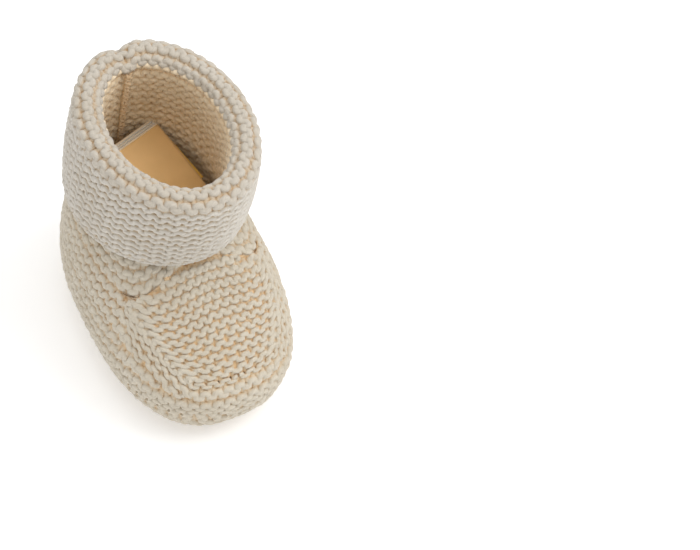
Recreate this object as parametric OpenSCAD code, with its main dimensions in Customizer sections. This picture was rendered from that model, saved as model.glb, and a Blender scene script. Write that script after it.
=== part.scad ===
// Knitted baby bootie with a turned-down cuff. Toe towards -Y, heel towards +Y, sole on the XY plane.
// Every knitted panel is a closed shell, one fabric thick, that follows one lofted foot surface.

/* [Foot] */
// Length of the foot from toe to heel
foot_length = 95; // [80:1:115]
// Widest width of the foot
foot_width = 58; // [50:1:66]
// Height of the ankle line at the front of the leg
ankle_height = 50; // [44:1:58]
// Height of the line where the sole meets the sides
sole_join_height = 13; // [10:0.5:16]
// Thickness of the garter stitch fabric
fabric = 3.2; // [2.6:0.1:3.6]

/* [Leg and cuff] */
// Total height of the standing bootie
total_height = 88.5; // [84:0.5:100]
// Length of the top opening's centre line along the foot
rim_length = 58.4; // [54:0.2:64]
// Width of the top opening's centre line
rim_width = 42.4; // [40:0.2:48]
// Distance of the top opening's centre in front of or behind the middle of the foot
rim_centre = 9; // [4:0.5:16]
// Radius of the rolled fold at the top, out to its surface
fold_radius = 4.6; // [4.4:0.1:5.4]
// Length of the cuff's lower edge along the foot
cuff_length = 62.6; // [58:0.2:68]
// Width of the cuff's lower edge
cuff_width = 53.4; // [50:0.2:58]
// Distance of the lower edge's centre behind the middle of the foot
cuff_centre = 14; // [12:0.5:16]
// Height of the cuff's lower edge above the floor
cuff_drop_height = 50; // [49.5:0.5:56]

/* [Label] */
// Width of the woven label
label_width = 20; // [14:1:20]
// Length of the label's free flap
label_length = 27; // [20:1:28]
// Thickness of the folded label
label_thickness = 0.7; // [0.5:0.1:1.2]
// Turn of the label seen from above
label_turn = 17; // [8:1:18]
// Slope of the resting flap below level
label_slope = 23.5; // [15:0.5:35]

/* [Hidden] */

// Clearance between the leg and the foot, which move on each other
ankle_gap = 0.4;
// Clearance between panels sewn edge to edge
seam_gap = 0.05;
// Points round a full contour, so that panels that meet share their corners, and steps up a panel
around = 60;
steps = 8;

half_length = foot_length / 2;
half_width = foot_width / 2;
rim_z = total_height - fold_radius;
// Centre line radius of the fabric in the fold, and how far its two walls' outer faces stand from the rim line
fold_mid = fold_radius - fabric / 2;
leg_top_inset = fold_mid - fabric / 2;
leg_top_a = rim_length / 2 - leg_top_inset;
leg_top_b = rim_width / 2 - leg_top_inset;

// Stations of the outer surface: [height, toe end, heel end, half width]
stations = concat(
    [for (s = [
        // shares of ankle height, half length, half length, half width
        [0.000, -0.700, 0.700, 0.520],
        [0.025, -0.810, 0.810, 0.700],
        [0.080, -0.915, 0.915, 0.860],
        [0.160, -0.970, 0.970, 0.945],
        [0.260, -0.995, 0.995, 0.985],
        [0.380, -0.990, 1.000, 1.000],
        [0.520, -0.925, 0.985, 0.985],
        [0.660, -0.780, 0.960, 0.945],
        [0.800, -0.570, 0.925, 0.875],
        [0.910, -0.400, 0.880, 0.815],
        [1.000, -0.300, 0.855, 0.783]])
        [s[0] * ankle_height, s[1] * half_length, s[2] * half_length, s[3] * half_width]],
    [for (s = [[0.18, -0.252, 0.842, 0.770], [0.36, -0.255, 0.832, 0.757]])
        [ankle_height + s[0] * (rim_z - ankle_height), s[1] * half_length, s[2] * half_length,
         s[3] * half_width]],
    [[rim_z, rim_centre - leg_top_a, rim_centre + leg_top_a, leg_top_b]]);
last = len(stations) - 1;

// Smooth value of one column of the stations at height z
function slope(i, c) = i <= 0 ? slope_between(0, 1, c) : i >= last ? slope_between(last - 1, last, c)
    : slope_between(i - 1, i + 1, c);
function slope_between(i, j, c) = (stations[j][c] - stations[i][c]) / (stations[j][0] - stations[i][0]);
function interval(z, i = 0) = i >= last - 1 || z <= stations[i + 1][0] ? i : interval(z, i + 1);
function at(z, c) = let (i = interval(z), h = stations[i + 1][0] - stations[i][0],
    t = (z - stations[i][0]) / h, t2 = t * t, t3 = t2 * t)
    (2 * t3 - 3 * t2 + 1) * stations[i][c] + (t3 - 2 * t2 + t) * h * slope(i, c)
    + (3 * t2 - 2 * t3) * stations[i + 1][c] + (t3 - t2) * h * slope(i + 1, c);

// Share of the foot's blunt plan shape that is left at height z: 1 at the sole, 0 in the leg
function foot_share(z) = let (t = min(1, max(0, (z / ankle_height - 0.6) / 0.5))) 1 - t * t * (3 - 2 * t);
function blunt(x, n) = sign(x) * pow(abs(x), 2 / n);

// Point of the outer surface at height z and turn a, with a = 0 at the toe and a = 90 on the +X side
function skin(z, a) = let (n = 2 + 0.4 * foot_share(z), c = blunt(cos(a), n), s = blunt(sin(a), n),
    front = at(z, 1), back = at(z, 2))
    [at(z, 3) * s * (1 + 0.09 * foot_share(z) * c), (front + back) / 2 - (back - front) / 2 * c, z];

function unit(v) = v / norm(v);
function ease(t) = let (u = min(1, max(0, t))) u * u * (3 - 2 * u);
// Unit normal of the surface, pointing out. It turns level near the rim, where the wall ends square.
level_over = 8;
function normal(z, a) = let (e = 0.4, zl = max(0, z - e), zh = min(rim_z, z + e),
    n = unit(cross(skin(z, a + 1) - skin(z, a - 1), skin(zh, a) - skin(zl, a))))
    unit([n[0], n[1], n[2] * (1 - ease((z - rim_z + level_over) / level_over))]);
function inset(z, a, d) = skin(z, a) - d * normal(z, a);

// Height of the sole join, of the leg's lower end and of the vamp's edge at turn a
vamp_end_height = 0.54 * ankle_height;
vamp_end_turn = 24;
corner_height = 0.81 * ankle_height;
corner_turn = 60;
function join_z(a) = sole_join_height + 1.5 * cos(a);
function turn_from_toe(a) = let (b = abs(a % 360)) b > 180 ? 360 - b : b;
function edge_z(a) = let (b = turn_from_toe(a))
    b <= vamp_end_turn ? vamp_end_height
    : b >= corner_turn ? corner_height
    : vamp_end_height + (corner_height - vamp_end_height) * (b - vamp_end_turn) / (corner_turn - vamp_end_turn);
function ankle_z(a) = let (b = turn_from_toe(a))
    corner_height + (ankle_height - corner_height) * (1 - ease(b / corner_turn));

// Closed shell between two grids of points. Rows wrap round when ring is true. When capped, each
// grid's last row is closed by a flat face of its own, as in a cup.
module shell(outer, inner, ring = true, capped = false) {
    rows = len(outer);
    n = len(outer[0]);
    cols = ring ? n : n - 1;
    function id(k, i, j) = k * rows * n + i * n + j % n;
    function quad(a, b, c, d) = [[a, b, c], [a, c, d]];
    sides = [for (i = [0:rows - 2], j = [0:cols - 1], k = [0, 1])
        k == 0 ? quad(id(0, i, j), id(0, i + 1, j), id(0, i + 1, j + 1), id(0, i, j + 1))
               : quad(id(1, i, j), id(1, i, j + 1), id(1, i + 1, j + 1), id(1, i + 1, j))];
    top = [for (j = [0:cols - 1]) quad(id(0, 0, j), id(0, 0, j + 1), id(1, 0, j + 1), id(1, 0, j))];
    bottom = capped ? [[[for (j = [0:n - 1]) id(0, rows - 1, j)], [for (j = [n - 1:-1:0]) id(1, rows - 1, j)]]]
        : [for (j = [0:cols - 1]) quad(id(0, rows - 1, j + 1), id(0, rows - 1, j), id(1, rows - 1, j),
            id(1, rows - 1, j + 1))];
    ends = ring ? [] : [for (i = [0:rows - 2], e = [0, 1])
        e == 0 ? quad(id(0, i, 0), id(1, i, 0), id(1, i + 1, 0), id(0, i + 1, 0))
               : quad(id(0, i, n - 1), id(0, i + 1, n - 1), id(1, i + 1, n - 1), id(1, i, n - 1))];
    polyhedron(points = concat([for (r = outer) each r], [for (r = inner) each r]),
        faces = [for (group = concat(sides, top, bottom, ends)) each group], convexity = 8);
}

// Turns of the points round a full contour, and of a stretch of it
turns = [for (j = [0:around - 1]) 360 * j / around];
function stretch(from, to, n) = [for (j = [0:n]) from + (to - from) * j / n];

// Panel on the foot surface over the given turns, between two heights that are functions of the turn
module panel(low, high, over = turns, ring = true, depth = 0, thickness = fabric, rows = steps) {
    function z(i, a) = high(a) + (low(a) - high(a)) * i / rows;
    shell([for (i = [0:rows]) [for (a = over) inset(z(i, a), a, depth)]],
          [for (i = [0:rows]) [for (a = over) inset(z(i, a), a, depth + thickness)]], ring);
}

// Cupped sole: its rim follows the sole join and its middle is flat on the floor
module sole() {
    levels = [1, 0.72, 0.48, 0.28, 0.12, 0.04, 0];
    shrink = [0.66, 0.33, 0.04];
    function z(t, a) = t * (join_z(a) - seam_gap);
    function flat_ring(s, h, d) = [for (a = turns) let (p = inset(0, a, d)) [p[0] * s, p[1] * s, h]];
    outer = concat([for (t = levels) [for (a = turns) skin(z(t, a), a)]],
        [for (s = shrink) flat_ring(s, 0, 0)]);
    inner = concat([for (t = levels) [for (a = turns) let (p = inset(z(t, a), a, fabric))
        [p[0], p[1], max(fabric, p[2])]]], [for (s = shrink) flat_ring(s, fabric, fabric)]);
    color("antiquewhite") shell(outer, inner, capped = true);
}

// Row of picked-up stitches that joins the sole to the sides, a little proud of both
join_width = 2.3;
join_proud = 0.3;
module sole_join() color("ivory")
    panel(function(a) join_z(a), function(a) join_z(a) + join_width, depth = -join_proud,
        thickness = fabric + join_proud, rows = 2);

// Band of rows from the sole join up to the vamp's edge and the ankle
join_end_turn = 54;
join_steps = join_end_turn * around / 360;
function band_top(a) = let (b = turn_from_toe(a))
    edge_z(a) - (b <= join_end_turn ? join_width + seam_gap
        : max(ankle_gap, (join_width + seam_gap) * (corner_turn - b) / (corner_turn - join_end_turn)));
module foot_sides() color("linen")
    panel(function(a) join_z(a) + join_width + seam_gap, function(a) band_top(a));

// Rows picked up along each edge of the vamp, from the middle of the toe to the ankle corner
module vamp_join(side) color("ivory")
    panel(function(a) edge_z(a) - join_width, function(a) edge_z(a) - seam_gap,
        over = [for (j = [0:join_steps]) side * max(0.3, 360 / around * (side > 0 ? j : join_steps - j))],
        ring = false, depth = -join_proud, thickness = fabric + join_proud, rows = 2);
module vamp_join_left() vamp_join(-1);
module vamp_join_right() vamp_join(1);

// Instep: rows across the foot from the ankle line down to the toe, narrowing on the way. The clearance
// under the leg fades out where the edge joins begin.
gap_fade = (corner_turn - vamp_end_turn) / (corner_turn - join_end_turn);
module vamp() {
    across = 20;
    rows = 12;
    function edge(v) = corner_height + v * (vamp_end_height - corner_height);
    function spread(v) = corner_turn + v * (vamp_end_turn - corner_turn);
    function crest(v) = ankle_height + v * (vamp_end_height - ankle_height);
    function z(u, v) = edge(v) + (crest(v) - edge(v)) * (1 - ease(abs(u))) + seam_gap
        - (ankle_gap + seam_gap) * max(0, 1 - v * gap_fade);
    function grid(d) = [for (i = [0:rows]) let (v = i / rows)
        [for (j = [0:across]) let (u = 2 * j / across - 1) inset(z(u, v), u * (spread(v) - 0.4), d)]];
    color("oldlace") shell(grid(0), grid(fabric), ring = false);
}

// Leg tube from the ankle line up to the fold
module leg() color("linen")
    panel(function(a) ankle_z(a), function(a) rim_z - seam_gap, rows = 10);

// Seam along the inside of the leg's centre back
seam_depth = 0.9;
seam_lift = 0.2;
module leg_seam() color("ivory")
    panel(function(a) corner_height + 1, function(a) rim_z - 1, over = stretch(176.5, 183.5, 3),
        ring = false, depth = fabric + seam_lift, thickness = seam_depth, rows = 10);

// Point of the turned-down part: r outside the rim's centre line, at height z and turn a
function rim(r, z, a) = [(rim_width / 2 + r) * sin(a), rim_centre - (rim_length / 2 + r) * cos(a), z];

// Rolled fold where the leg turns over into the cuff
module cuff_fold() {
    rolls = [for (k = [0:10]) 180 - 18 * k];
    function ring_at(p, radius) = [for (a = turns) rim(radius * cos(p), rim_z + radius * sin(p), a)];
    color("ivory") shell([for (p = rolls) ring_at(p, fold_radius)],
        [for (p = rolls) ring_at(p, fold_radius - fabric)]);
}

// Lower edge of the cuff at turn a: it drops a little towards the heel
edge_rise = 1.5;
edge_band = 2.4;
function drop_z(a) = cuff_drop_height + edge_rise * cos(a);
// Point of the cuff's wall at share t of its drop from the fold, d inside the outer face
function cuff_wall(t, a, d) = let (bulge = 0.8 * sin(180 * t),
    top = rim(fold_radius - d + bulge, rim_z - seam_gap, a),
    low = [(cuff_width / 2 - d + bulge) * sin(a), cuff_centre - (cuff_length / 2 - d + bulge) * cos(a), drop_z(a)])
    top + (low - top) * t;
function band_share(a) = 1 - edge_band / (rim_z - drop_z(a));

// Turned-down cuff, from the fold to its edge band
module cuff() {
    rows = 8;
    function grid(d) = [for (i = [0:rows]) [for (a = turns) cuff_wall(i / rows * band_share(a), a, d)]];
    color("floralwhite") shell(grid(0), grid(fabric));
}

// Cast-on edge of the cuff
module cuff_edge() {
    function share(i, a) = band_share(a) + 0.001 + (0.999 - band_share(a)) * i / 2;
    function grid(d) = [for (i = [0:2]) [for (a = turns) cuff_wall(share(i, a), a, d)]];
    color("ivory") shell(grid(-join_proud), grid(fabric));
}

// Seam on the hidden face of the cuff's centre back
module cuff_seam() {
    rows = 8;
    over = stretch(176.5, 183.5, 3);
    function grid(d) = [for (i = [0:rows]) [for (a = over)
        cuff_wall(0.08 + (band_share(a) - 0.1) * i / rows, a, d)]];
    color("ivory") shell(grid(fabric + seam_lift), grid(fabric + seam_lift + 0.7), ring = false);
}

// Label: the hinge line is the front edge of the hem, which is sewn to the leg's back wall
seat_rise = 4.7;
hinge = [0.8, 0.625 * half_length, ankle_height + seat_rise];
hem_thickness = 2 * label_thickness;
hem_gap = 0.1;
stitch_count = 7;
stitch_radius = 0.3;
stitch_pitch = label_width / stitch_count;
stitch_setback = 1.2;
module at_hinge() translate(hinge) rotate([0, 0, label_turn]) children();
module at_flap() at_hinge() rotate([label_slope, 0, 0]) children();

// Hem: fills the strip between the hinge line and the curved wall, and is notched round the leg's seam
hinge_clearance = 0.4;
notch_width = 4.4;
module label_hem() color("wheat")
    translate([0, 0, hinge[2] - hem_thickness / 2]) linear_extrude(height = hem_thickness)
        difference() {
            intersection() {
                polygon([for (a = turns) let (p = inset(hinge[2], a, fabric + hem_gap)) [p[0], p[1]]]);
                translate([hinge[0], hinge[1]]) rotate(label_turn)
                    translate([-label_width / 2, hinge_clearance]) square([label_width, half_width]);
            }
            translate([-notch_width / 2, inset(hinge[2], 180, fabric + seam_lift + seam_depth + hem_gap)[1]])
                square([notch_width, fabric]);
        }

// Row of small stitches along the hem's front edge, resting on it
module label_stitching() color("white") at_hinge()
    for (k = [0:stitch_count - 2])
        translate([(k + 0.5) * stitch_pitch - label_width / 2, stitch_setback,
            hem_thickness / 2 + stitch_radius + 0.01])
            rotate([0, 90, 0]) cylinder(h = 0.7 * stitch_pitch, r = stitch_radius, center = true, $fn = 16);

// Free flap, in front of the hinge line
module label_flap() color("wheat") at_flap()
    translate([-label_width / 2, -label_length, -label_thickness / 2])
        cube([label_width, label_length - hinge_clearance, label_thickness]);

sole();
sole_join();
foot_sides();
vamp();
vamp_join_left();
vamp_join_right();
leg();
leg_seam();
cuff_fold();
cuff();
cuff_edge();
cuff_seam();
label_hem();
label_stitching();
label_flap();
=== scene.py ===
import math

import bpy
import numpy as np
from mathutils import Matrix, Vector


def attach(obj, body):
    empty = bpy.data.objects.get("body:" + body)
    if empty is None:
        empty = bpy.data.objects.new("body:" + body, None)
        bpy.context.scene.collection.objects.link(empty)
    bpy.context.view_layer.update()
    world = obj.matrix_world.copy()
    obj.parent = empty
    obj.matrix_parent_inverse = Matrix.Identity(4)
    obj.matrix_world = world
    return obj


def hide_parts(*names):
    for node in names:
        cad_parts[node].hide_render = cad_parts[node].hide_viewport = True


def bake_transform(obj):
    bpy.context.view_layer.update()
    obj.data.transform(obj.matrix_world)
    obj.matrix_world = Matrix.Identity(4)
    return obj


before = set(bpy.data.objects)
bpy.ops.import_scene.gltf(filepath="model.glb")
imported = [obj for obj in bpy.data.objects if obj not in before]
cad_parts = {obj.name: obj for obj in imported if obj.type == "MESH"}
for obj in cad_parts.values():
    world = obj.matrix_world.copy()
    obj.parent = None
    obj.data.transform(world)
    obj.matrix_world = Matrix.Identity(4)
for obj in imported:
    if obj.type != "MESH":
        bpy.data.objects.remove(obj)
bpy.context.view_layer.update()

# ---------------------------------------------------------------- sizes, in millimetres
MM = 0.001
FOOT_LENGTH, FOOT_WIDTH, ANKLE = 95.0, 58.0, 50.0
SOLE_JOIN, FABRIC, TOTAL = 13.0, 3.2, 88.5
RIM_LENGTH, RIM_WIDTH, RIM_CENTRE, FOLD_RADIUS = 58.4, 42.4, 9.0, 4.6
CUFF_LENGTH, CUFF_WIDTH, CUFF_CENTRE, CUFF_DROP = 62.6, 53.4, 14.0, 50.0
HALF_L, HALF_W = FOOT_LENGTH / 2, FOOT_WIDTH / 2
RIM_Z = TOTAL - FOLD_RADIUS
FOLD_MID = FOLD_RADIUS - FABRIC / 2
LEG_TOP = FOLD_MID - FABRIC / 2
JOIN_WIDTH, JOIN_RISE, BODY_GAP = 2.3, 1.5, 0.4  # picked-up rows, and the gap between foot and leg
EDGE_BAND, EDGE_RISE = 2.4, 1.5
NIP, NIP_SPREAD = 1.3, 7.0  # dip where the seam draws the rim in: its depth, and its spread in degrees
CUFF_BULGE = 0.8
CORNER_Z, CORNER_TURN = 0.81 * ANKLE, 60.0
VAMP_END_Z, VAMP_END_TURN = 0.54 * ANKLE, 24.0

# ---------------------------------------------------------------- knit gauge
STITCH = 3.9  # width of a stitch
ROW = 1.775  # height of a row: a garter ridge is two rows
LOOP = 1.62  # half height of a loop
NARROW = 0.16  # how far a loop closes at its neck, in stitch widths
DEPTH = 0.72  # how far a loop stands proud of the middle of the fabric
YARN = 1.06  # radius of the yarn
THINNEST, THICKEST = 0.72, 1.08  # how far the yarn's radius follows the height of its row, as shares
UNEVEN_HEIGHT, UNEVEN_DEPTH, UNEVEN_PLACE = 0.07, 0.10, 0.045  # differences from stitch to stitch
SEGMENTS, SIDES = 12, 8  # points to a stitch along the yarn, and round it
LEG_SIDES = 7  # one fewer, so that the export keeps every triangle of the biggest piece
RNG = np.random.default_rng(11)

# ---------------------------------------------------------------- the foot and leg surface
STATIONS = [
    (share * ANKLE, toe * HALF_L, heel * HALF_L, width * HALF_W)
    for share, toe, heel, width in (
        (0.000, -0.700, 0.700, 0.520),
        (0.025, -0.810, 0.810, 0.700),
        (0.080, -0.915, 0.915, 0.860),
        (0.160, -0.970, 0.970, 0.945),
        (0.260, -0.995, 0.995, 0.985),
        (0.380, -0.990, 1.000, 1.000),
        (0.520, -0.925, 0.985, 0.985),
        (0.660, -0.780, 0.960, 0.945),
        (0.800, -0.570, 0.925, 0.875),
        (0.910, -0.400, 0.880, 0.815),
        (1.000, -0.300, 0.855, 0.783),
    )
]
STATIONS += [
    (ANKLE + share * (RIM_Z - ANKLE), toe * HALF_L, heel * HALF_L, width * HALF_W)
    for share, toe, heel, width in ((0.18, -0.252, 0.842, 0.770), (0.36, -0.255, 0.832, 0.757))
]
STATIONS += [
    (
        RIM_Z,
        RIM_CENTRE - RIM_LENGTH / 2 + LEG_TOP,
        RIM_CENTRE + RIM_LENGTH / 2 - LEG_TOP,
        RIM_WIDTH / 2 - LEG_TOP,
    )
]
STATIONS = np.array(STATIONS)
HEIGHTS = STATIONS[:, 0]
SLOPES = np.empty_like(STATIONS[:, 1:])
SLOPES[1:-1] = (STATIONS[2:, 1:] - STATIONS[:-2, 1:]) / (STATIONS[2:, :1] - STATIONS[:-2, :1])
SLOPES[0] = (STATIONS[1, 1:] - STATIONS[0, 1:]) / (HEIGHTS[1] - HEIGHTS[0])
SLOPES[-1] = (STATIONS[-1, 1:] - STATIONS[-2, 1:]) / (HEIGHTS[-1] - HEIGHTS[-2])
SQUARE, FLARE = 0.4, 0.09  # how square the foot's outline is, and how much wider it is at the toe
OVAL_FROM, OVAL_OVER = 0.6, 0.5  # it turns to an oval from here, over this much, in ankle heights


def ease(t):
    t = np.clip(t, 0, 1)
    return t * t * (3 - 2 * t)


def profile(z):
    """Toe end, heel end and half width at height z."""
    i = np.clip(np.searchsorted(HEIGHTS, z, side="left") - 1, 0, len(HEIGHTS) - 2)
    h = HEIGHTS[i + 1] - HEIGHTS[i]
    t, h = ((z - HEIGHTS[i]) / h)[..., None], h[..., None]
    return (
        (2 * t**3 - 3 * t**2 + 1) * STATIONS[i, 1:]
        + (t**3 - 2 * t**2 + t) * h * SLOPES[i]
        + (3 * t**2 - 2 * t**3) * STATIONS[i + 1, 1:]
        + (t**3 - t**2) * h * SLOPES[i + 1]
    )


def foot_share(z):
    """1 low on the foot, where the outline is squarish, and 0 on the leg, where it is an oval."""
    return 1 - ease((z / ANKLE - OVAL_FROM) / OVAL_OVER)


def skin(z, turn):
    """Outer surface of the foot and leg. Turn is in degrees from the toe towards +X."""
    z, turn = np.broadcast_arrays(np.asarray(z, float), np.radians(turn))
    n = 2 + SQUARE * foot_share(z)
    c, s = (np.sign(f) * np.abs(f) ** (2 / n) for f in (np.cos(turn), np.sin(turn)))
    v = profile(z)
    x = v[..., 2] * s * (1 + FLARE * foot_share(z) * c)
    y = (v[..., 0] + v[..., 1]) / 2 - (v[..., 1] - v[..., 0]) / 2 * c
    return np.stack([x, y, z], -1)


def from_toe(turn):
    """Degrees from the toe, to either side."""
    turn = np.abs(np.asarray(turn, float) % 360)
    return np.where(turn > 180, 360 - turn, turn)


def join_z(turn):
    return SOLE_JOIN + JOIN_RISE * np.cos(np.radians(turn))


def vamp_edge_z(turn):
    t = np.clip((from_toe(turn) - VAMP_END_TURN) / (CORNER_TURN - VAMP_END_TURN), 0, 1)
    return VAMP_END_Z + (CORNER_Z - VAMP_END_Z) * t


def ankle_z(turn):
    return CORNER_Z + (ANKLE - CORNER_Z) * (1 - ease(from_toe(turn) / CORNER_TURN))


# ---------------------------------------------------------------- panels: grids of the middle of the fabric
def unit(v):
    return v / np.maximum(np.linalg.norm(v, axis=-1, keepdims=True), 1e-9)


def even(points):
    """The same grid with every row's points evenly spaced along it."""
    steps = np.linalg.norm(np.diff(points, axis=1), axis=-1)
    along = np.concatenate([np.zeros((len(points), 1)), np.cumsum(steps, 1)], 1)
    target = np.linspace(0, 1, points.shape[1])
    return np.stack(
        [
            np.stack([np.interp(target, a / a[-1], row[:, k]) for k in range(3)], -1)
            for a, row in zip(along, points)
        ]
    )


class Panel:
    """A grid over u, along a row, and v, up the rows. Past 0 to 1 it runs straight on, or u goes round."""

    def __init__(self, outer, closed, inset, outward, spaced=True):
        outer = even(outer) if spaced else outer
        du, dv = np.gradient(outer, axis=1), np.gradient(outer, axis=0)
        if closed:
            du[:, 0] = du[:, -1] = outer[:, 1] - outer[:, -2]
        normal = unit(np.cross(du, dv))
        if np.sum(normal * outward(outer)) < 0:
            normal = -normal
        self.normal, self.closed = normal, closed
        self.points = outer - normal * inset
        self.lengths = np.linalg.norm(np.diff(self.points, axis=1), axis=-1).sum(1)

    def _mix(self, grid, u, v):
        rows, cols = grid.shape[0] - 1, grid.shape[1] - 1
        if self.closed:
            u = u % 1.0
        fu, fv = u * cols, v * rows
        i = np.clip(np.floor(fv).astype(int), 0, rows - 1)
        j = np.clip(np.floor(fu).astype(int), 0, cols - 1)
        a, b = (fu - j)[..., None], (fv - i)[..., None]
        low = grid[i, j] * (1 - a) + grid[i, j + 1] * a
        high = grid[i + 1, j] * (1 - a) + grid[i + 1, j + 1] * a
        return low * (1 - b) + high * b

    def at(self, u, v):
        return self._mix(self.points, u, v), unit(self._mix(self.normal, u, v))

    def length(self, v):
        return float(np.interp(v, np.linspace(0, 1, len(self.lengths)), self.lengths))


INSIDE_Y = 6.0  # an upright line at this Y is inside the whole bootie


def away_from_axis(points):
    out = points - np.array([0, INSIDE_Y, 0])
    out[..., 2] = 0
    return out


def lofted(low, high, rows=60, cols=240, turns=(-180, 180), closed=True):
    """Panel on the skin between two heights that depend on the turn, with its rows evenly spaced up it.

    A ring starts and ends at the heel.
    """
    turn = np.linspace(*turns, cols + 1)
    v = np.linspace(0, 1, rows + 1)[:, None]
    z = low(turn)[None] * (1 - v) + high(turn)[None] * v
    z = even(np.moveaxis(skin(z, turn[None]), 0, 1))[..., 2].T
    return Panel(skin(z, turn[None]), closed, FABRIC / 2, away_from_axis)


def rim(reach, z, turn):
    """Ring at the rim, nipped in by the seam at the centre back."""
    nip = NIP * np.exp(-(((np.degrees(np.abs(turn)) - 180) / NIP_SPREAD) ** 2))
    reach, z = reach - nip, z - nip
    return np.stack(
        [
            (RIM_WIDTH / 2 + reach) * np.sin(turn),
            RIM_CENTRE - (RIM_LENGTH / 2 + reach) * np.cos(turn),
            z + 0 * turn,
        ],
        -1,
    )


def drop_z(turn):
    return CUFF_DROP + EDGE_RISE * np.cos(turn)


def cuff_wall(share, turn):
    """Outer surface of the cuff: share is 0 at the rim and 1 at the cast-on edge."""
    bulge = CUFF_BULGE * np.sin(np.pi * share)
    top = rim(FOLD_RADIUS + bulge, RIM_Z, turn)
    low = np.stack(
        [
            (CUFF_WIDTH / 2 + bulge) * np.sin(turn),
            CUFF_CENTRE - (CUFF_LENGTH / 2 + bulge) * np.cos(turn),
            drop_z(turn) + 0 * share,
        ],
        -1,
    )
    return top + (low - top) * share[..., None]


def cuff_panel(from_share, to_share, rows=40, cols=240):
    turn = np.radians(np.linspace(-180, 180, cols + 1))[None]
    share = np.linspace(from_share, to_share, rows + 1)[:, None] + 0 * turn
    return Panel(cuff_wall(share, turn + 0 * share), True, FABRIC / 2, away_from_axis)


def fold_panel(rows=40, cols=240):
    turn = np.radians(np.linspace(-180, 180, cols + 1))[None]
    roll = np.radians(np.linspace(180, 0, rows + 1))[:, None]
    grid = rim(FOLD_RADIUS * np.cos(roll) + 0 * turn, RIM_Z + FOLD_RADIUS * np.sin(roll), turn + 0 * roll)
    centre = rim(0 * roll + 0 * turn, RIM_Z, turn + 0 * roll)
    return Panel(grid, True, FABRIC / 2, lambda p: p - centre)


VAMP_BOW = 0.22  # how far the rows bow towards the toe at the ankle end, as a share of the vamp's length
VAMP_CROWD = 1.12  # above 1, stitches are closer together in the middle of the vamp


def vamp_panel(rows=80, cols=120):
    """Rows bow towards the toe. Those from minus VAMP_BOW to 0 are short rows at the ankle end."""
    w = np.linspace(-VAMP_BOW, 1, rows + 1)[:, None]
    u = np.linspace(-1, 1, cols + 1)[None]
    v = np.maximum(w + VAMP_BOW * (1 - u**2) * (1 - w), 0)
    share = np.linspace(0, 1, 400)
    crest = skin(ANKLE + share * (VAMP_END_Z - ANKLE), 0.0)
    along = np.concatenate([[0], np.cumsum(np.linalg.norm(np.diff(crest, axis=0), axis=1))])
    v = np.interp(v * along[-1], along, share)
    edge = CORNER_Z + v * (VAMP_END_Z - CORNER_Z)
    spread = CORNER_TURN + v * (VAMP_END_TURN - CORNER_TURN)
    turn = np.degrees(np.arcsin(np.abs(u) ** VAMP_CROWD * np.sin(np.radians(spread))))
    z = edge + (ANKLE + v * (VAMP_END_Z - ANKLE) - edge) * (1 - ease(turn / spread))
    return Panel(skin(z, np.sign(u) * turn), False, FABRIC / 2, away_from_axis, spaced=False)


HALVINGS = 26
END_TURN = 2.5  # how far the sole's first and last rows are from the toe and heel, in degrees
SOLE_LIFT = 0.40  # keeps the sole's yarn off the floor
INSIDE = np.array([0, 0, 60.0])  # a point inside the leg, above the sole


def sole_height(x, y):
    """Height of the cupped sole over (x, y): 0 on its flat middle, found by halving."""
    low, high = np.zeros_like(x), np.full_like(x, SOLE_JOIN + JOIN_RISE + 0.1)

    def outside(z):
        toe, heel, width = np.moveaxis(profile(z), -1, 0)
        c = ((toe + heel) / 2 - y) / ((heel - toe) / 2)
        n = 2 + SQUARE * foot_share(z)
        return np.abs(c) ** n + np.abs(x / (width * (1 + FLARE * c))) ** n > 1

    flat = ~outside(low)
    for _ in range(HALVINGS):
        middle = (low + high) / 2
        out = outside(middle)
        low, high = np.where(out, middle, low), np.where(out, high, middle)
    return np.where(flat, 0.0, high)


def sole_panel(rows=200, cols=160):
    """Rows straight across the foot: down one side of the cup, over the flat middle and up the other."""
    turn = np.linspace(END_TURN, 180 - END_TURN, 2000)
    edge = skin(join_z(turn), turn)
    y = np.linspace(edge[0, 1], edge[-1, 1], 1500)
    centre = np.stack([y, sole_height(np.zeros_like(y), y)], -1)
    along = np.concatenate([[0], np.cumsum(np.linalg.norm(np.diff(centre, axis=0), axis=1))])
    y = np.interp(np.linspace(0, along[-1], rows + 1), along, y)
    reach = np.interp(y, edge[:, 1], edge[:, 0])
    x = np.sin(np.linspace(-np.pi / 2, np.pi / 2, cols + 1))[None] * reach[:, None]
    y = y[:, None] + 0 * x
    cup = np.stack([x, y, sole_height(x, y)], -1)
    return Panel(cup, False, FABRIC / 2 + SOLE_LIFT, lambda p: p - INSIDE)


# ---------------------------------------------------------------- yarn
BACKING = 0.5  # thickness of the sheet behind the loops
FACE_LIFT = 0.01  # lift of a backing sheet's faces: just enough to tell the outside from the inside, and low enough that they take the full painted shade of the hollows


def sheet_quads(n, m):
    """Faces of a closed sheet: a front grid of n by m points, then a back one."""
    ids = np.arange(n * m).reshape(n, m)
    face = np.stack([ids[:-1, :-1], ids[:-1, 1:], ids[1:, 1:], ids[1:, :-1]], -1).reshape(-1, 4)
    loop = np.concatenate([ids[0], ids[1:, -1], ids[-1, -2::-1], ids[-2:0:-1, 0]])
    after = np.roll(loop, -1)
    wall = np.stack([after, loop, loop + n * m, after + n * m], -1)
    return np.concatenate([face, face[:, ::-1] + n * m, wall])


def add_object(name, data):
    made = bpy.data.objects.new(name, data)
    bpy.context.scene.collection.objects.link(made)
    return made


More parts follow.
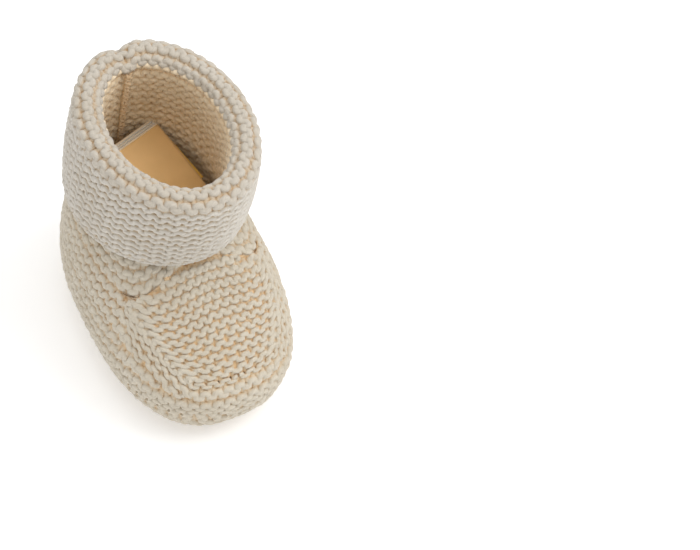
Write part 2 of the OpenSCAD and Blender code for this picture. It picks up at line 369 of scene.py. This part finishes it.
class Yarns:
    """Collects tubes and plain grids into one mesh."""

    def __init__(self):
        self.verts, self.faces, self.uvs, self.lifts, self.count = [], [], [], [], 0

    def tube(self, centre, normal, radius, surface=None, closed=False, sides=SIDES):
        """Tube along centre. Lift is how far each vertex stands from the middle of the fabric, in mm."""
        n = len(centre)
        if closed:
            tangent = unit(np.roll(centre, -1, 0) - np.roll(centre, 1, 0))
        else:
            tangent = unit(np.gradient(centre, axis=0))
        side = unit(np.cross(tangent, normal))
        up = np.cross(side, tangent)
        angle = np.linspace(0, 2 * np.pi, sides, endpoint=False)
        spin = np.cos(angle)[None, :, None] * up[:, None] + np.sin(angle)[None, :, None] * side[:, None]
        ring = centre[:, None] + spin * np.asarray(radius, float).reshape(-1, 1, 1)
        base = centre if surface is None else surface
        lift = np.sum((ring - base[:, None]) * normal[:, None], -1)
        steps = np.linalg.norm(np.diff(centre, axis=0, append=centre[:1]), axis=-1)
        along = np.concatenate([[0], np.cumsum(steps)])
        rows = np.arange(n if closed else n - 1)
        a = rows[:, None] * sides + np.arange(sides)[None]
        b = rows[:, None] * sides + (np.arange(sides)[None] + 1) % sides
        after = ((rows + 1) % n - rows)[:, None] * sides
        quads = np.stack([a, a + after, b + after, b], -1).reshape(-1, 4)
        low, high = along[rows][:, None] + 0 * a, along[rows + 1][:, None] + 0 * a
        near = np.arange(sides)[None] / sides + 0.0 * a
        far = near + 1 / sides
        uv = np.stack([np.stack(p, -1) for p in ((low, near), (high, near), (high, far), (low, far))], -2)
        self._add(ring.reshape(-1, 3), quads, uv.reshape(-1, 4, 2), lift.ravel())
        if not closed:
            for k, flip in ((0, False), (n - 1, True)):
                self._cap(ring[k], centre[k], lift[k], flip)

    def _cap(self, ring, middle, lift, flip):
        """Closes an open end with quads that meet at its middle."""
        sides = len(ring)
        j = np.arange(0, sides, 2)
        far = np.minimum(j + 2, sides) % sides
        quads = np.stack([0 * j + sides, j, (j + 1) % sides, far], -1)
        quads = quads[:, ::-1] if flip else quads
        self._add(
            np.concatenate([ring, middle[None]]), quads, np.zeros((len(quads), 4, 2)),
            np.concatenate([lift, [lift.mean()]]),
        )

    def backing(self, panel, rows=24, cols=96):
        """Thin closed sheet in the middle of the fabric, seen only between the loops, where it shows the deep
        colour, the painted shade of the hollows.
        """
        uu, vv = np.meshgrid(np.linspace(0, 1, cols + 1), np.linspace(0, 1, rows + 1))
        points, normal = panel.at(np.minimum(uu, 1 - 1e-9) if panel.closed else uu, vv)
        front, back = points + normal * BACKING / 2, points - normal * BACKING / 2
        quads = sheet_quads(*uu.shape)
        self._add(
            np.concatenate([front.reshape(-1, 3), back.reshape(-1, 3)]), quads,
            np.zeros((len(quads), 4, 2)), np.repeat([FACE_LIFT, -FACE_LIFT], uu.size),
        )

    def _add(self, verts, quads, uv, lift):
        self.verts.append(verts)
        self.faces.append(quads + self.count)
        self.uvs.append(uv)
        self.lifts.append(lift)
        self.count += len(verts)

    def make(self, name, material):
        verts, faces = np.concatenate(self.verts) * MM, np.concatenate(self.faces).astype(np.int32)
        mesh = bpy.data.meshes.new(name)
        mesh.vertices.add(len(verts))
        mesh.vertices.foreach_set("co", verts.astype(np.float32).ravel())
        mesh.loops.add(faces.size)
        mesh.loops.foreach_set("vertex_index", faces.ravel())
        mesh.polygons.add(len(faces))
        mesh.polygons.foreach_set("loop_start", np.arange(0, faces.size, 4, dtype=np.int32))
        mesh.polygons.foreach_set("use_smooth", np.ones(len(faces), bool))
        mesh.uv_layers.new(name="Yarn").data.foreach_set(
            "uv", np.concatenate(self.uvs).astype(np.float32).ravel()
        )
        lift = mesh.attributes.new("lift", "FLOAT", "POINT")
        lift.data.foreach_set("value", np.concatenate(self.lifts).astype(np.float32))
        mesh.update(calc_edges=True)
        mesh.materials.append(material)
        return add_object(name, mesh)


def wobble(count, size):
    """Small differences from stitch to stitch."""
    return RNG.normal(0, size, count)


def knit_row(
    yarns, panel, v, rows, count, side,
    u=(0, 1), loop=LOOP, depth=DEPTH, yarn=YARN, narrow=NARROW, sides=SIDES,
):
    """One row of loops at height v of the panel, which holds that many rows; both may be functions of u.

    side is +1 where the tops of the loops show outside.
    """
    closed = panel.closed and u == (0, 1)
    n = count * SEGMENTS
    t = np.arange(n if closed else n + 1) * (2 * np.pi / SEGMENTS)
    which = (t / (2 * np.pi)).astype(int) % count
    tall = 1 + wobble(count, UNEVEN_HEIGHT)[which]
    proud = 1 + wobble(count, UNEVEN_DEPTH)[which]
    places = np.resize(wobble(count, UNEVEN_PLACE), count + 1)
    shift = np.interp(t, np.arange(count + 1) * 2 * np.pi, places)
    if closed:
        shift = shift - shift[0] * (1 - t / t[-1])
    across = (t / (2 * np.pi) + narrow * np.sin(2 * t) + shift) / count
    lean = np.cos(t)
    uu = u[0] + (u[1] - u[0]) * across
    v_middle = v(uu) if callable(v) else v
    step = 1 / (rows(uu) if callable(rows) else rows)
    vv = v_middle + loop * tall * lean / ROW * step
    surface, normal = panel.at(uu, vv)
    above, _ = panel.at(uu, vv + 0.5 * step)
    below, _ = panel.at(uu, vv - 0.5 * step)
    pitch = np.linalg.norm(above - below, axis=-1)
    radius = yarn * np.clip(pitch / ROW, THINNEST, THICKEST)
    centre = surface + normal * (side * depth * proud * lean)[:, None]
    yarns.tube(centre, normal, radius, surface, closed, sides)


def face_of(i):
    """Garter stitch: every other row turns its loops to the other face."""
    return 1 if i % 2 == 0 else -1


def knit(yarns, panel, rows, stitches, **shape):
    """All the rows of a panel. stitches is a number, or a function of v that both rows of a ridge share."""
    for i in range(rows):
        count = stitches(2 * (i // 2) / rows + 1 / rows) if callable(stitches) else stitches
        knit_row(yarns, panel, (i + 0.5) / rows, rows, count, face_of(i), **shape)


# ---------------------------------------------------------------- materials
def srgb(*levels):
    """Linear colour of screen levels from 0 to 255."""
    shares = [level / 255 for level in levels]
    return tuple(c / 12.92 if c <= 0.04045 else ((c + 0.055) / 1.055) ** 2.4 for c in shares) + (1,)


def grey(level):
    return (level, level, level, 1)


def nodes_of(name):
    mat = bpy.data.materials.new(name)
    mat.use_nodes = True
    return mat, mat.node_tree, mat.node_tree.nodes["Principled BSDF"]


def link(tree, a, b):
    tree.links.new(a, b)


def node(tree, kind, **values):
    made = tree.nodes.new(kind)
    for key, value in values.items():
        setattr(made, key, value)
    return made


def feed(tree, value, socket):
    """Sets a socket to a number or colour, or links another socket to it."""
    if isinstance(value, (int, float, tuple)):
        socket.default_value = value
    else:
        link(tree, value, socket)


def ramp(tree, source, low, high, low_colour, high_colour):
    made = node(tree, "ShaderNodeValToRGB")
    stops = made.color_ramp.elements
    stops[0].position, stops[0].color = low, low_colour
    stops[1].position, stops[1].color = high, high_colour
    link(tree, source, made.inputs[0])
    return made.outputs["Color"]


def maths(tree, operation, *values):
    made = node(tree, "ShaderNodeMath", operation=operation)
    for value, socket in zip(values, made.inputs):
        feed(tree, value, socket)
    return made.outputs[0]


def mix_colour(tree, blend, factor, a, b):
    made = node(tree, "ShaderNodeMix", data_type="RGBA", blend_type=blend)
    factor_in, a_in, b_in, colour_out = made.inputs[0], made.inputs[6], made.inputs[7], made.outputs[2]
    for value, socket in ((factor, factor_in), (a, a_in), (b, b_in)):
        feed(tree, value, socket)
    return colour_out


FULL_LIFT = 1.7  # lift of the highest crests, in mm
PLIES, PLIES_PER_MM = 2.0, 0.42  # plies side by side round the yarn, and passed in 1 mm along it
PLY_RELIEF = 0.35  # how much the plies add to the relief of the fibres
FIBRE_ALONG, FIBRE_ROUND = 0.25, 4.0  # scales of the fibres' noise: drawn out along the yarn
SHADE = 0.8  # how strongly the small differences of colour show
FIBRE_DARK, FIBRE_PALE = (0.87, 0.85, 0.82, 1), grey(1.06)
PATCH_DARK, PATCH_PALE = (0.96, 0.945, 0.92, 1), grey(1.02)
CLOUD_DARK, CLOUD_PALE = (0.95, 0.94, 0.92, 1), grey(1.03)
WEAVE_SHOW = 0.3  # how strongly a ribbon's warp threads show


def yarn_material(name, crest, painted_shade_out, inner, painted_shade_in, deep=0.10, high=0.70):
    """Two-ply yarn: pale where it stands proud, with painted shade, a warm tan, where it goes into the
    fabric. The inside faces are painted warmer and brighter, as painted light for light through the knit.
    """
    mat, tree, shader = nodes_of(name)
    lift = node(tree, "ShaderNodeAttribute", attribute_name="lift").outputs["Fac"]
    uv = node(tree, "ShaderNodeUVMap", uv_map="Yarn").outputs[0]
    split = node(tree, "ShaderNodeSeparateXYZ")
    link(tree, uv, split.inputs[0])
    along, round_ = split.outputs[0], split.outputs[1]
    # outside and inside faces are both pale on their crests, with painted shade in their hollows; the inside
    # one is painted warmer and brighter, as painted light
    height = maths(tree, "MULTIPLY", maths(tree, "ABSOLUTE", lift), 1 / FULL_LIFT)
    # the hollow colours are painted shade: full below a height of deep, gone above high
    outside = ramp(tree, height, deep, high, painted_shade_out, crest)
    inside = ramp(tree, height, deep, high, painted_shade_in, inner)
    face = maths(tree, "GREATER_THAN", lift, 0.0)
    colour = mix_colour(tree, "MIX", face, inside, outside)
    # plies wind round the yarn, and fine fibres run along them
    wind = maths(tree, "MULTIPLY", along, PLIES_PER_MM)
    twist = maths(tree, "ADD", wind, maths(tree, "MULTIPLY", round_, PLIES))
    ply = maths(tree, "SINE", maths(tree, "MULTIPLY", twist, 2 * math.pi))
    wound = node(tree, "ShaderNodeCombineXYZ")
    link(tree, maths(tree, "MULTIPLY", along, FIBRE_ALONG), wound.inputs[0])
    link(tree, maths(tree, "MULTIPLY", twist, FIBRE_ROUND), wound.inputs[1])
    fibre = node(tree, "ShaderNodeTexNoise")
    fibre.inputs["Scale"].default_value = 3.0
    fibre.inputs["Detail"].default_value = 3.0
    link(tree, wound.outputs[0], fibre.inputs["Vector"])
    shade = ramp(tree, fibre.outputs["Fac"], 0.3, 0.7, FIBRE_DARK, FIBRE_PALE)
    colour = mix_colour(tree, "MULTIPLY", SHADE, colour, shade)
    # slow differences over the whole piece
    place = node(tree, "ShaderNodeTexCoord").outputs["Object"]
    patch = node(tree, "ShaderNodeTexNoise")
    patch.inputs["Scale"].default_value = 75.0
    link(tree, place, patch.inputs["Vector"])
    tint = ramp(tree, patch.outputs["Fac"], 0.35, 0.65, PATCH_DARK, PATCH_PALE)
    colour = mix_colour(tree, "MULTIPLY", SHADE, colour, tint)
    link(tree, colour, shader.inputs["Base Color"])
    bump = node(tree, "ShaderNodeBump")
    bump.inputs["Strength"].default_value = 0.75
    bump.inputs["Distance"].default_value = 0.0003
    relief = maths(tree, "ADD", maths(tree, "MULTIPLY", ply, PLY_RELIEF), fibre.outputs["Fac"])
    link(tree, relief, bump.inputs["Height"])
    link(tree, bump.outputs[0], shader.inputs["Normal"])
    shader.inputs["Roughness"].default_value = 0.92
    shader.inputs["Specular IOR Level"].default_value = 0.15
    shader.inputs["Sheen Weight"].default_value = 0.35
    shader.inputs["Sheen Roughness"].default_value = 0.45
    return mat


def ribbon_material(name, base, warp, roughness):
    """Woven satin ribbon."""
    mat, tree, shader = nodes_of(name)
    place = node(tree, "ShaderNodeTexCoord").outputs["Object"]
    weave = node(tree, "ShaderNodeTexWave", wave_type="BANDS", bands_direction="X")
    weave.inputs["Scale"].default_value = 2400.0
    weave.inputs["Distortion"].default_value = 1.2
    link(tree, place, weave.inputs["Vector"])
    cloud = node(tree, "ShaderNodeTexNoise")
    cloud.inputs["Scale"].default_value = 160.0
    link(tree, place, cloud.inputs["Vector"])
    threads = maths(tree, "MULTIPLY", weave.outputs["Fac"], WEAVE_SHOW)
    colour = mix_colour(tree, "MIX", threads, base, warp)
    shade = ramp(tree, cloud.outputs["Fac"], 0.3, 0.7, CLOUD_DARK, CLOUD_PALE)
    link(tree, mix_colour(tree, "MULTIPLY", SHADE, colour, shade), shader.inputs["Base Color"])
    bump = node(tree, "ShaderNodeBump")
    bump.inputs["Strength"].default_value = 0.15
    bump.inputs["Distance"].default_value = 0.0001
    link(tree, weave.outputs["Fac"], bump.inputs["Height"])
    link(tree, bump.outputs[0], shader.inputs["Normal"])
    shader.inputs["Roughness"].default_value = roughness
    shader.inputs["Sheen Weight"].default_value = 0.2
    return mat


def floor_material():
    mat, tree, shader = nodes_of("floor")
    shader.inputs["Base Color"].default_value = grey(0.93)
    shader.inputs["Roughness"].default_value = 0.9
    shader.inputs["Emission Color"].default_value = grey(1)
    shader.inputs["Emission Strength"].default_value = 0.28
    return mat


# The cream is the yarn's own colour. The tan is painted shade for the hollows of the outside faces. The warm
# pair is painted light on the inside faces' crests and painted shade in their hollows.
CREAM, OUTSIDE_PAINTED_SHADE = srgb(221, 212, 195), srgb(234, 204, 162)
INNER_PAINTED_LIGHT, INNER_PAINTED_SHADE = srgb(255, 237, 207), srgb(253, 220, 176)
FOOT_YARN = yarn_material("foot_yarn", CREAM, OUTSIDE_PAINTED_SHADE, INNER_PAINTED_LIGHT, INNER_PAINTED_SHADE)
LEG_YARN = yarn_material("leg_yarn", CREAM, OUTSIDE_PAINTED_SHADE, INNER_PAINTED_LIGHT, INNER_PAINTED_SHADE)
# The cuff's yarn is a painted-light copy of the same yarn, paler and with less painted shade in its hollows.
# The fold's yarn at the rim is a painted-shade copy, darker on its crests and in its hollows.
LIT_CUFF_YARN = yarn_material("cuff_yarn_painted_light", srgb(222, 216, 206), srgb(230, 210, 178), INNER_PAINTED_LIGHT, INNER_PAINTED_SHADE)
SHADED_FOLD_YARN = yarn_material("fold_yarn_painted_shade", srgb(211, 203, 190), srgb(214, 184, 142), INNER_PAINTED_LIGHT, INNER_PAINTED_SHADE)
# The seam lies on the inside faces. Its colours are the inside's painted warm light and painted shade.
SEAM_YARN = yarn_material("seam_yarn", INNER_PAINTED_LIGHT, INNER_PAINTED_SHADE, INNER_PAINTED_LIGHT, INNER_PAINTED_SHADE, deep=0.0, high=0.5)
WHITE = srgb(254, 252, 247)
# The thread's sides take the cream as painted shade, and it is whiter at its top and bottom.
THREAD = yarn_material("thread", WHITE, CREAM, WHITE, CREAM, deep=0.0, high=0.2)
RIBBON = ribbon_material("ribbon", srgb(244, 200, 134), srgb(248, 210, 150), 0.5)
HEM_RIBBON = ribbon_material("hem_ribbon", srgb(254, 236, 208), srgb(254, 242, 220), 0.6)
UNDER_RIBBON = ribbon_material("under_ribbon", srgb(252, 204, 92), srgb(254, 214, 112), 0.5)

# ---------------------------------------------------------------- the knitted pieces
LEG_ROWS, CUFF_ROWS, FOLD_ROWS, BAND_ROWS, VAMP_ROWS, SOLE_ROWS = 24, 20, 6, 14, 20, 62
ROUND_LEG, ROUND_FOOT = 44, 64  # stitches round
BAND_END = 54.0  # past this turn the band closes up to the leg


def band_low(turn):
    return join_z(turn) + JOIN_WIDTH


def band_high(turn):
    away = from_toe(turn)
    closing = JOIN_WIDTH * (CORNER_TURN - away) / (CORNER_TURN - BAND_END)
    gap = np.where(away <= BAND_END, JOIN_WIDTH, np.maximum(BODY_GAP, closing))
    return vamp_edge_z(turn) - gap


def finish_piece(yarns, name, material, body=None, bends=False):
    obj = yarns.make(name, material)
    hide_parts(name)
    if bends:
        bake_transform(obj)
    else:
        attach(obj, body)


def make_leg():
    panel = lofted(ankle_z, lambda turn: 0 * turn + RIM_Z)
    yarns = Yarns()
    knit(yarns, panel, LEG_ROWS, ROUND_LEG, sides=LEG_SIDES)
    yarns.backing(panel)
    finish_piece(yarns, "leg", LEG_YARN, bends=True)


def make_fold():
    panel = fold_panel()
    yarns = Yarns()
    knit(yarns, panel, FOLD_ROWS, ROUND_LEG, yarn=1.24, depth=0.82)
    yarns.backing(panel)
    finish_piece(yarns, "cuff_fold", SHADED_FOLD_YARN, "leg")


EDGE_FROM = 1 - EDGE_BAND / (RIM_Z - CUFF_DROP)  # share of the cuff's drop where its edge band starts


def make_cuff():
    panel = cuff_panel(0, EDGE_FROM)
    yarns = Yarns()
    knit(yarns, panel, CUFF_ROWS, ROUND_LEG)
    yarns.backing(panel)
    finish_piece(yarns, "cuff", LIT_CUFF_YARN, "leg")


def make_cuff_edge():
    """Cast-on edge: a short row of loops, then a scalloped chain of two strands."""
    strand, swing, bulge, pinch = 0.72, 0.22, 0.55, 0.10
    panel = cuff_panel(EDGE_FROM, 1, rows=8)
    yarns = Yarns()
    knit_row(yarns, panel, 0.3, 2, ROUND_LEG, 1, loop=1.0)
    n = ROUND_LEG * SEGMENTS
    t = np.arange(n) * 2 * np.pi / SEGMENTS
    for phase in (0, np.pi):
        u = (t / (2 * np.pi) + pinch * np.sin(2 * t + phase)) / ROUND_LEG
        surface, normal = panel.at(u, 0.72 + swing * np.cos(t + phase))
        centre = surface + normal * (bulge * np.sin(t + phase) + 0.15)[:, None]
        yarns.tube(centre, normal, np.full(n, strand), surface, closed=True)
    finish_piece(yarns, "cuff_edge", LIT_CUFF_YARN, "leg")


DROPPED = 4, 3, 5, 2, 6  # ridges that run out before the toe, the longest gap first
SHOWN = 0.5  # a row isn't knitted where it has no more than this share of its height
THIN = 0.6  # and its loops never shrink below this share


def row_shares(panel):
    """Rows' shares of the band's height at points round it: short rows run out where the band is too low."""
    heights = np.linalg.norm(np.diff(panel.points, axis=0), axis=-1).sum(0)
    heights = (heights + heights[::-1]) / 2
    ridges = BAND_ROWS / 2 * heights / heights[0]
    shares = np.ones((BAND_ROWS, len(heights)))
    for rank, ridge in enumerate(DROPPED):
        shares[2 * ridge - 2 : 2 * ridge] = np.clip(ridges - (BAND_ROWS / 2 - 1 - rank), 0.02, 1)
    return shares


def read_round(values):
    """Function of u that reads values given at even steps round a ring."""
    return lambda u: np.interp(u % 1, np.linspace(0, 1, len(values)), values)


def make_foot_sides():
    panel = lofted(band_low, band_high)
    yarns = Yarns()
    shares = row_shares(panel)
    total = shares.sum(0)
    height = (np.cumsum(shares, 0) - shares / 2) / total
    for i in range(BAND_ROWS):
        v = read_round(height[i])
        rows = read_round(total / np.maximum(shares[i], THIN))
        gap = np.linspace(0, 1, len(total))[shares[i] <= SHOWN]
        if gap.size == 0:
            knit_row(yarns, panel, v, rows, ROUND_FOOT, face_of(i))
            continue
        start, stop = gap.max(), gap.min() + 1
        count = round(ROUND_FOOT * (stop - start))
        knit_row(yarns, panel, v, rows, count, face_of(i), u=(start, stop))
    yarns.backing(panel)
    finish_piece(yarns, "foot_sides", FOOT_YARN, bends=True)


def make_vamp():
    panel = vamp_panel()
    yarns = Yarns()
    whole = (1 + VAMP_BOW) * VAMP_ROWS
    first = -round(VAMP_BOW * VAMP_ROWS / 2) * 2
    for i in range(first, VAMP_ROWS):
        w = (i + 0.5) / VAMP_ROWS
        ridge = (2 * (i // 2) + 1) / VAMP_ROWS
        reach = math.sqrt(max(0.05, 1 + min(ridge, 0) / (VAMP_BOW * (1 - ridge))))
        v = (w + VAMP_BOW) / (1 + VAMP_BOW)
        length = panel.length((ridge + VAMP_BOW) / (1 + VAMP_BOW)) * reach
        count = max(3, round(length / STITCH))
        knit_row(yarns, panel, v, whole, count, face_of(i), u=(0.5 - reach / 2, 0.5 + reach / 2))
    yarns.backing(panel)
    finish_piece(yarns, "vamp", FOOT_YARN, bends=True)


JOIN_TURNS = 0.3, 56  # from the toe to short of the corner, in degrees to either side


def vamp_join_low(turn):
    return vamp_edge_z(turn) - JOIN_WIDTH


def make_vamp_join(name, side):
    """Picked-up rows: tall open loops of thinner yarn along one edge of the vamp."""
    near, far = JOIN_TURNS
    turns = (near, far) if side > 0 else (-far, -near)
    panel = lofted(vamp_join_low, vamp_edge_z, rows=8, cols=90, turns=turns, closed=False)
    yarns = Yarns()
    count = round(panel.length(0.5) / STITCH)
    knit_row(yarns, panel, 0.30, 2, count, 1, loop=1.7, depth=0.7, yarn=0.86, narrow=0.24)
    knit_row(yarns, panel, 0.75, 2, count, -1, loop=1.45, depth=0.7, yarn=0.86, narrow=0.24)
    finish_piece(yarns, name, FOOT_YARN, bends=True)


def make_sole_join():
    """Picked-up rows round the sole: one stands out as a ridge, and one sinks in above it."""
    panel = lofted(join_z, band_low, rows=8)
    yarns = Yarns()
    knit_row(yarns, panel, 0.45, 1.3, ROUND_FOOT, 1, loop=1.5, depth=0.9)
    knit_row(yarns, panel, 0.75, 1.3, ROUND_FOOT, -1, loop=1.1, depth=0.8)
    yarns.backing(panel, rows=4)
    finish_piece(yarns, "sole_join", FOOT_YARN, "foot")


def make_sole():
    panel = sole_panel()
    yarns = Yarns()
    knit(yarns, panel, SOLE_ROWS, lambda v: max(6, round(panel.length(v) / STITCH)))
    yarns.backing(panel, rows=60, cols=60)
    finish_piece(yarns, "sole", FOOT_YARN, "foot")


SEAM_RADIUS, SEAM_REACH, SEAM_STEPS = 0.45, 0.75, 260  # a seam's strand, its swing to each side, its points


def sew_seam(name, heights, wall, facing, clear, lift, bends):
    """Sewn seam: two strands that cross from side to side, up the inner face of a wall at the centre back."""
    z = np.linspace(*heights, SEAM_STEPS)
    t = 2 * np.pi * (z - z[0]) / (2 * ROW)
    normal = np.tile([0.0, facing, 0.0], (len(z), 1))
    yarns = Yarns()
    for phase in (0, np.pi):
        sideways = SEAM_REACH * np.sin(t + phase)
        inwards = -(FABRIC + clear) - lift * np.cos(2 * t + phase)
        yarns.tube(wall(z) + np.stack([sideways, inwards, 0 * z], -1), normal, np.full(len(z), SEAM_RADIUS))
    finish_piece(yarns, name, SEAM_YARN, "leg", bends)


def leg_back(z):
    return skin(z, 180.0)


def cuff_back(z):
    return cuff_wall((RIM_Z - z) / (RIM_Z - drop_z(np.pi)), np.pi + 0 * z)


def make_leg_seam():
    sew_seam("leg_seam", (CORNER_Z + 1.5, RIM_Z - 1.5), leg_back, 1.0, clear=0.45, lift=0.175, bends=True)


def make_cuff_seam():
    sew_seam("cuff_seam", (CUFF_DROP + 3.5, RIM_Z - 3.0), cuff_back, -1.0, clear=0.35, lift=0.14, bends=False)


# ---------------------------------------------------------------- the label
LABEL_WIDTH, LABEL_LENGTH, UNDER_LENGTH = 20.0, 27.0, 21.0
UNDER_SKEW = 0.055  # how far the layer under the flap strays to its right, per length
LABEL_TURN, LABEL_SLOPE = math.radians(17), math.radians(23.5)
HINGE = np.array([0.8, 0.625 * HALF_L, ANKLE + 4.7])
ACROSS = np.array([math.cos(LABEL_TURN), math.sin(LABEL_TURN), 0])
BACKWARD = np.array([-math.sin(LABEL_TURN), math.cos(LABEL_TURN), 0])
FORWARD = -BACKWARD * math.cos(LABEL_SLOPE) + np.array([0, 0, -math.sin(LABEL_SLOPE)])
FLAP_UP = np.cross(ACROSS, -FORWARD)
UP = np.array([0, 0, 1.0])
FLAP_THICK, UNDER_THICK, HEM_THICK = 0.35, 0.25, 0.9
OVERLAP, SAG = 0.2, 0.35  # how far the flap starts inside the hem, and how far its middle stands proud
HEM_DEPTH = 2.6
CROWN, CROWN_POWER = 0.6, 16  # how much a ribbon thins at its long edges, and how near to them
STITCH_LINES, STITCH_PITCH, STITCH_HALF = (0.6, 1.5), 1.25, 0.5
THREAD_RADIUS, THREAD_RISE, THREAD_POINTS = 0.26, 0.30, 9


def slab(name, width, path, thickness, material):
    """Ribbon of that width swept along path, a list of (point, up), with rounded long edges."""
    mesh = bpy.data.meshes.new(name)
    across = np.linspace(-width / 2, width / 2, 25)
    crown = 1 - CROWN * (np.abs(across) / (width / 2)) ** CROWN_POWER
    verts = []
    for sign in (1, -1):
        for point, up in path:
            verts += [point + ACROSS * x + up * sign * thickness / 2 * k for x, k in zip(across, crown)]
    faces = sheet_quads(len(path), len(across))
    mesh.from_pydata((np.array(verts) * MM).tolist(), [], faces.tolist())
    mesh.polygons.foreach_set("use_smooth", np.ones(len(mesh.polygons), bool))
    mesh.update()
    mesh.materials.append(material)
    return add_object(name, mesh)


def make_label():
    reach = np.linspace(-OVERLAP, LABEL_LENGTH, 40)
    sag = SAG * np.sin(np.pi * (reach / LABEL_LENGTH))
    path = [(HINGE + FORWARD * s + FLAP_UP * (d + 0.1), FLAP_UP) for s, d in zip(reach, sag)]
    flap = slab("label_flap", LABEL_WIDTH, path, FLAP_THICK, RIBBON)
    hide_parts("label_flap")
    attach(flap, "label")
    under = [
        (HINGE + FORWARD * s + ACROSS * (0.3 + UNDER_SKEW * s) - FLAP_UP * 0.35, FLAP_UP)
        for s in np.linspace(0, UNDER_LENGTH, 30)
    ]
    layer = slab("label_under_layer", LABEL_WIDTH - 0.4, under, UNDER_THICK, UNDER_RIBBON)
    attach(layer, "label")
    hem_path = [
        (HINGE + BACKWARD * s + UP * 0.15 * math.sin(s), UP)
        for s in np.linspace(0.0, HEM_DEPTH, 12)
    ]
    hem = slab("label_hem", LABEL_WIDTH - 0.3, hem_path, HEM_THICK, HEM_RIBBON)
    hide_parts("label_hem")
    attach(hem, "leg")
    make_label_stitches()


def make_label_stitches():
    """Two lines of stitches through the hem, each an arch of thread."""
    yarns = Yarns()
    t = np.linspace(0, np.pi, THREAD_POINTS)[:, None]
    for back in STITCH_LINES:
        for x in np.arange(-LABEL_WIDTH / 2 + 1.0, LABEL_WIDTH / 2 - 0.6, STITCH_PITCH):
            line = HINGE + BACKWARD * back + ACROSS * (x + np.cos(t) * STITCH_HALF)
            line = line + UP * (0.55 + THREAD_RISE * np.sin(t))
            radius = np.full(THREAD_POINTS, THREAD_RADIUS)
            yarns.tube(line, np.tile(UP, (THREAD_POINTS, 1)), radius, sides=6)
    finish_piece(yarns, "label_stitching", THREAD, "leg")


# ---------------------------------------------------------------- camera, floor and light
CAMERA_PLACE = -271.045, -465.702, 743.348
CAMERA_TURN = 36.8994, -5.1027, -29.1560  # about X, Y and Z, in degrees
LENS = 151.366
LIT_POINT = Vector((0, 0, 0.04))
FLOOR_REACH = 3.0
WORLD = 0.65  # strength of the light from all round; the camera sees it as white


def camera():
    data = bpy.data.cameras.new("camera")
    data.lens = LENS
    data.clip_start, data.clip_end = 0.01, 10.0
    made = add_object("camera", data)
    made.location = Vector(CAMERA_PLACE) * MM
    made.rotation_euler = [math.radians(angle) for angle in CAMERA_TURN]
    bpy.context.scene.camera = made


def area_light(name, place, size, power):
    """Square light that faces the middle of the bootie."""
    data = bpy.data.lights.new(name, "AREA")
    data.size, data.energy = size, power
    made = add_object(name, data)
    made.location = place
    made.rotation_mode = "QUATERNION"
    made.rotation_quaternion = (LIT_POINT - Vector(place)).to_track_quat("-Z", "Y")


def studio():
    mesh = bpy.data.meshes.new("floor")
    corners = [(x * FLOOR_REACH, y * FLOOR_REACH, 0) for x, y in ((-1, -1), (1, -1), (1, 1), (-1, 1))]
    mesh.from_pydata(corners, [], [(0, 1, 2, 3)])
    mesh.materials.append(floor_material())
    floor = add_object("floor", mesh)
    area_light("key", (0.52, -0.26, 0.80), 0.6, 3.2)
    area_light("top", (-0.05, 0.05, 0.98), 0.7, 2.1)
    world = bpy.data.worlds.new("world")
    world.use_nodes = True
    tree = world.node_tree
    tree.nodes["Background"].inputs[0].default_value = grey(1)
    seen = node(tree, "ShaderNodeLightPath").outputs["Is Camera Ray"]
    strength = maths(tree, "ADD", maths(tree, "MULTIPLY", seen, 1.0 - WORLD), WORLD)
    link(tree, strength, tree.nodes["Background"].inputs[1])
    bpy.context.scene.world = world
    bpy.context.scene.view_settings.view_transform = "Standard"


camera()
studio()
make_leg()
make_fold()
make_cuff()
make_cuff_edge()
make_foot_sides()
make_vamp()
make_vamp_join("vamp_join_left", -1)
make_vamp_join("vamp_join_right", 1)
make_sole_join()
make_sole()
make_leg_seam()
make_cuff_seam()
make_label()
